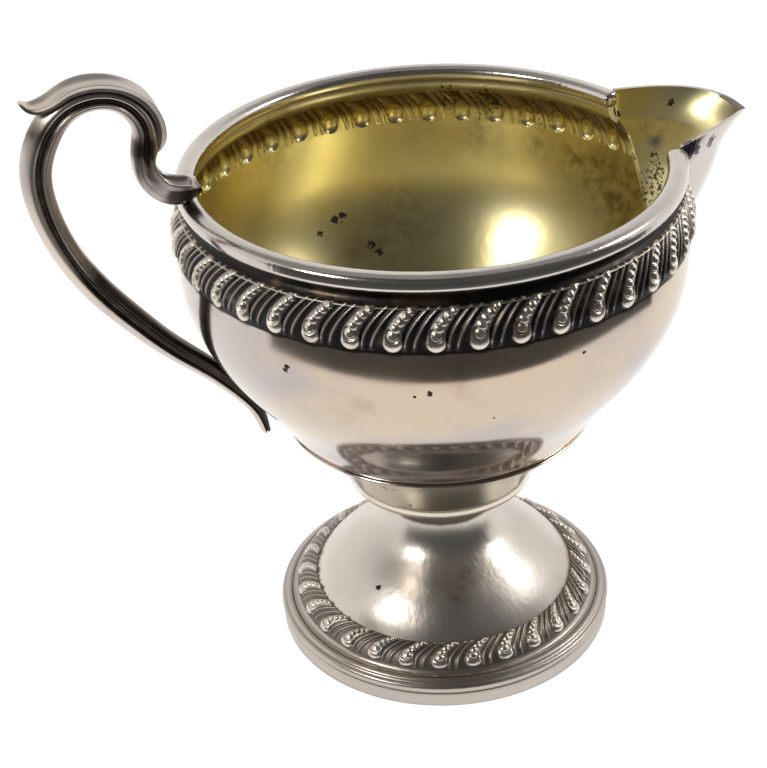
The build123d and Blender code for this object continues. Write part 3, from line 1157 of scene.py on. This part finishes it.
# The stage and its lights, in metres
JUG_MIDDLE = (0, 0, 0.07)
FLOOR_HALF_SIDE = 4.0
FLOOR_DROP = 0.00005  # keeps the floor out of the foot's lower edge
FLOOR_GREY = (0.2, 0.2, 0.2)
FLOOR_GLOW = 4.9
ROOM_GREY = (0.065, 0.066, 0.067)
ROOM_GLOW = 0.6
ROOM_RISE = 0.0005  # height of the dark part of the table, just over the floor
WHITE_FRONT = 0.141  # the white of the table ends this far from the jug's axis, towards the camera
WHITE_SIDE = 0.174
WALL_RADIUS = 0.85
WALL_MIDDLE = 0.8
WALL_TOP = 1.7
WINDOW_WHITE = (1.0, 0.99, 0.97)
SKY_LOW = (0.98, 0.97, 0.95)
SKY_SIDE = (0.88, 0.88, 0.87)
SKY_TOP = (0.33, 0.33, 0.34)


def card(name, points, faces, colour, strength, seen=False):
    """A stage surface by its points in metres, with its own faint light."""
    mesh = bpy.data.meshes.new(name)
    mesh.from_pydata(points, [], faces)
    material = bpy.data.materials.new(name)
    material.use_nodes = True
    shader = material.node_tree.nodes["Principled BSDF"]
    shader.inputs["Base Color"].default_value = (*colour, 1.0)
    shader.inputs["Roughness"].default_value = 0.9
    shader.inputs["Specular IOR Level"].default_value = 0.1
    shader.inputs["Emission Color"].default_value = (*colour, 1.0)
    shader.inputs["Emission Strength"].default_value = strength
    mesh.materials.append(material)
    thing = bpy.data.objects.new(name, mesh)
    bpy.context.scene.collection.objects.link(thing)
    thing.visible_camera = seen
    thing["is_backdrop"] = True
    return thing


def round_camera(azimuth, distance, height):
    """A place round the jug, by its angle from the camera's side in degrees."""
    angle = CAMERA_AZIMUTH + math.radians(azimuth)
    return Vector((distance * math.cos(angle), distance * math.sin(angle), height))


def add_window(name, place, size, power):
    """A soft light that points at the jug."""
    light = bpy.data.lights.new(name, "AREA")
    light.shape = "RECTANGLE"
    light.size, light.size_y = size
    light.energy = power
    light.color = WINDOW_WHITE
    thing = bpy.data.objects.new(name, light)
    thing.location = place
    thing.rotation_mode = "QUATERNION"
    thing.rotation_quaternion = (place - Vector(JUG_MIDDLE)).to_track_quat("Z", "Y")
    thing.visible_camera = False
    bpy.context.scene.collection.objects.link(thing)


def front_card(name, left, right, upward):
    """Part of the dark room in front of the jug, between two angles from the camera's side. upward holds
    (share of the way from the white of the table to the wall, height)."""
    across = np.radians(np.linspace(left, right, 61))
    angles = CAMERA_AZIMUTH + across
    near = WHITE_FRONT * WHITE_SIDE / np.hypot(WHITE_SIDE * np.cos(across), WHITE_FRONT * np.sin(across))
    rows = []
    for share, height in upward:
        radius = near + (WALL_RADIUS - near) * share
        x = radius * np.cos(angles)
        y = radius * np.sin(angles)
        rows.append(np.stack([x, y, 0 * angles + height], axis=1))
    grid = np.array(rows)
    numbers = np.arange(grid.shape[0] * grid.shape[1]).reshape(grid.shape[:2])
    faces = np.stack([numbers[:-1, :-1], numbers[:-1, 1:], numbers[1:, 1:], numbers[1:, :-1]], axis=-1)
    card(name, grid.reshape(-1, 3).tolist(), faces.reshape(-1, 4).tolist(), ROOM_GREY, ROOM_GLOW)


def make_dark_front():
    """The dark room in front of the jug: a ring on the table beyond its white middle, a wall behind that
    and part of a ceiling."""
    table = [(0.0, ROOM_RISE), (1.0, ROOM_RISE)]
    wall = [(1.0, ROOM_RISE), (1.0, WALL_MIDDLE), (1.0, WALL_TOP)]
    ceiling_end = (0.25, WALL_TOP)
    front_card("dark_table", -68, 98, table)
    front_card("dark_wall", -72, 86, [*wall, ceiling_end])


def make_stage():
    """A pale floor, and the dark room that the silver reflects."""
    side = FLOOR_HALF_SIDE
    corners = [(-side, -side, 0), (side, -side, 0), (side, side, 0), (-side, side, 0)]
    floor = card("floor", corners, [(0, 1, 2, 3)], FLOOR_GREY, FLOOR_GLOW, seen=True)
    floor.location.z = -FLOOR_DROP
    make_dark_front()


def make_world():
    """Pale all round the horizon and below it, dark overhead."""
    world = bpy.data.worlds.new("surroundings")
    world.use_nodes = True
    tree = world.node_tree
    back = tree.nodes["Background"]
    place = tree.nodes.new("ShaderNodeTexCoord")
    split = tree.nodes.new("ShaderNodeSeparateXYZ")
    tree.links.new(place.outputs["Generated"], split.inputs["Vector"])
    middle = ramp(tree, split.outputs["Z"], 0.34, 0.42)
    colour = tint(tree, middle, SKY_LOW, SKY_SIDE)
    overhead = ramp(tree, split.outputs["Z"], 0.60, 0.76)
    colour = tint(tree, overhead, colour, SKY_TOP)
    tree.links.new(colour, back.inputs["Color"])
    back.inputs["Strength"].default_value = 1.0
    bpy.context.scene.world = world


def make_lights():
    """Two windows, one on each side of the camera. Sizes are in metres and powers in watts."""
    add_window("window_left", round_camera(-53, distance=0.60, height=0.55), size=(0.17, 0.13), power=1.6)
    add_window("window_right", round_camera(96, distance=0.58, height=0.50), size=(0.13, 0.12), power=1.1)


def make_camera():
    """The photograph's view, worked out from the circles of the rim and the foot."""
    camera = bpy.data.objects.new("camera", bpy.data.cameras.new("camera"))
    bpy.context.scene.collection.objects.link(camera)
    camera.location = Vector(CAMERA_PLACE) * MM
    level = math.cos(CAMERA_PITCH)
    ahead = Vector((math.sin(CAMERA_YAW) * level, math.cos(CAMERA_YAW) * level, -math.sin(CAMERA_PITCH)))
    side = ahead.cross(Vector((0, 0, 1))).normalized()
    above = side.cross(ahead)
    right = side * math.cos(CAMERA_ROLL) + above * math.sin(CAMERA_ROLL)
    up = above * math.cos(CAMERA_ROLL) - side * math.sin(CAMERA_ROLL)
    camera.rotation_mode = "QUATERNION"
    camera.rotation_quaternion = Matrix((right, up, -ahead)).transposed().to_quaternion()
    camera.data.lens = LENS
    camera.data.sensor_width = SENSOR
    camera.data.clip_start = 0.01
    bpy.context.scene.camera = camera


make_stage()
make_world()
make_lights()
make_camera()
bpy.context.scene.view_settings.view_transform = "Standard"

str([[list(corner) for corner in pair] for pair in (cad_box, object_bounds())])
